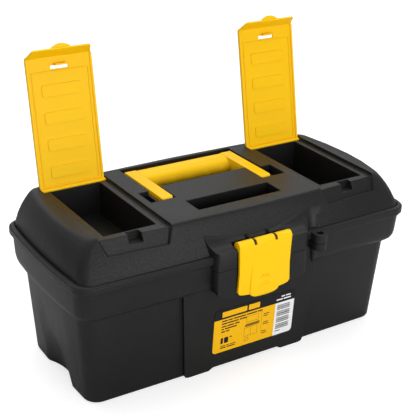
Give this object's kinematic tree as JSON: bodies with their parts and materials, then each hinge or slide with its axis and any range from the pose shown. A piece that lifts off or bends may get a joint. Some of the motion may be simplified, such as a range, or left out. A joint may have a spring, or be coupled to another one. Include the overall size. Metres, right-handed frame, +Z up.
{
  "type": "toolbox",
  "caption": "Plastic toolbox with a hinged lid, lidded small-parts bins in the lid, a folding handle, a front latch and a lift-out tray inside.",
  "frame": {"origin": "middle of the flat underside of the base, on the floor", "axes": "+X along the box to the right seen from the front, -Y out of the front with the latch, +Z up"},
  "size_m": [0.406, 0.2018, 0.3205],
  "materials": {
    "black_plastic": "fine moulded grain",
    "yellow_plastic": "smooth satin",
    "pin_steel": "bright drawn",
    "label_film": null
  },
  "bodies": {
    "base": {"base_tub": "black_plastic", "lift_out_tray": "black_plastic", "front_label": "label_film", "hinge_pin_left": "pin_steel", "hinge_pin_right": "pin_steel"},
    "lid": {"lid_shell": "black_plastic", "latch_rod": "pin_steel", "handle_pin_left": "pin_steel", "handle_pin_right": "pin_steel"},
    "handle": {"carry_handle": "yellow_plastic"},
    "latch": {"front_latch": "yellow_plastic"},
    "cover_left": {"left_cover": "yellow_plastic"},
    "cover_right": {"right_cover": "yellow_plastic"}
  },
  "joints": [
    {"name": "lid_hinge", "type": "hinge", "parent": "base", "child": "lid", "pos_m": [0, 0.095, 0.132], "axis": [-1, 0, 0], "range_deg": [0, 100]},
    {"name": "handle_fold", "type": "hinge", "parent": "lid", "child": "handle", "pos_m": [0, -0.006, 0.1692], "axis": [1, 0, 0], "range_deg": [0, 95]},
    {"name": "latch_swing", "type": "hinge", "parent": "lid", "child": "latch", "pos_m": [0, -0.094, 0.1495], "axis": [-1, 0, 0], "range_deg": [0, 100]},
    {"name": "left_cover_hinge", "type": "hinge", "parent": "lid", "child": "cover_left", "pos_m": [-0.1278, 0.0697, 0.1734], "axis": [1, 0, 0], "range_deg": [0, 100.8]},
    {"name": "right_cover_hinge", "type": "hinge", "parent": "lid", "child": "cover_right", "pos_m": [0.1278, 0.0697, 0.1734], "axis": [1, 0, 0], "range_deg": [0, 100.8]}
  ]
}
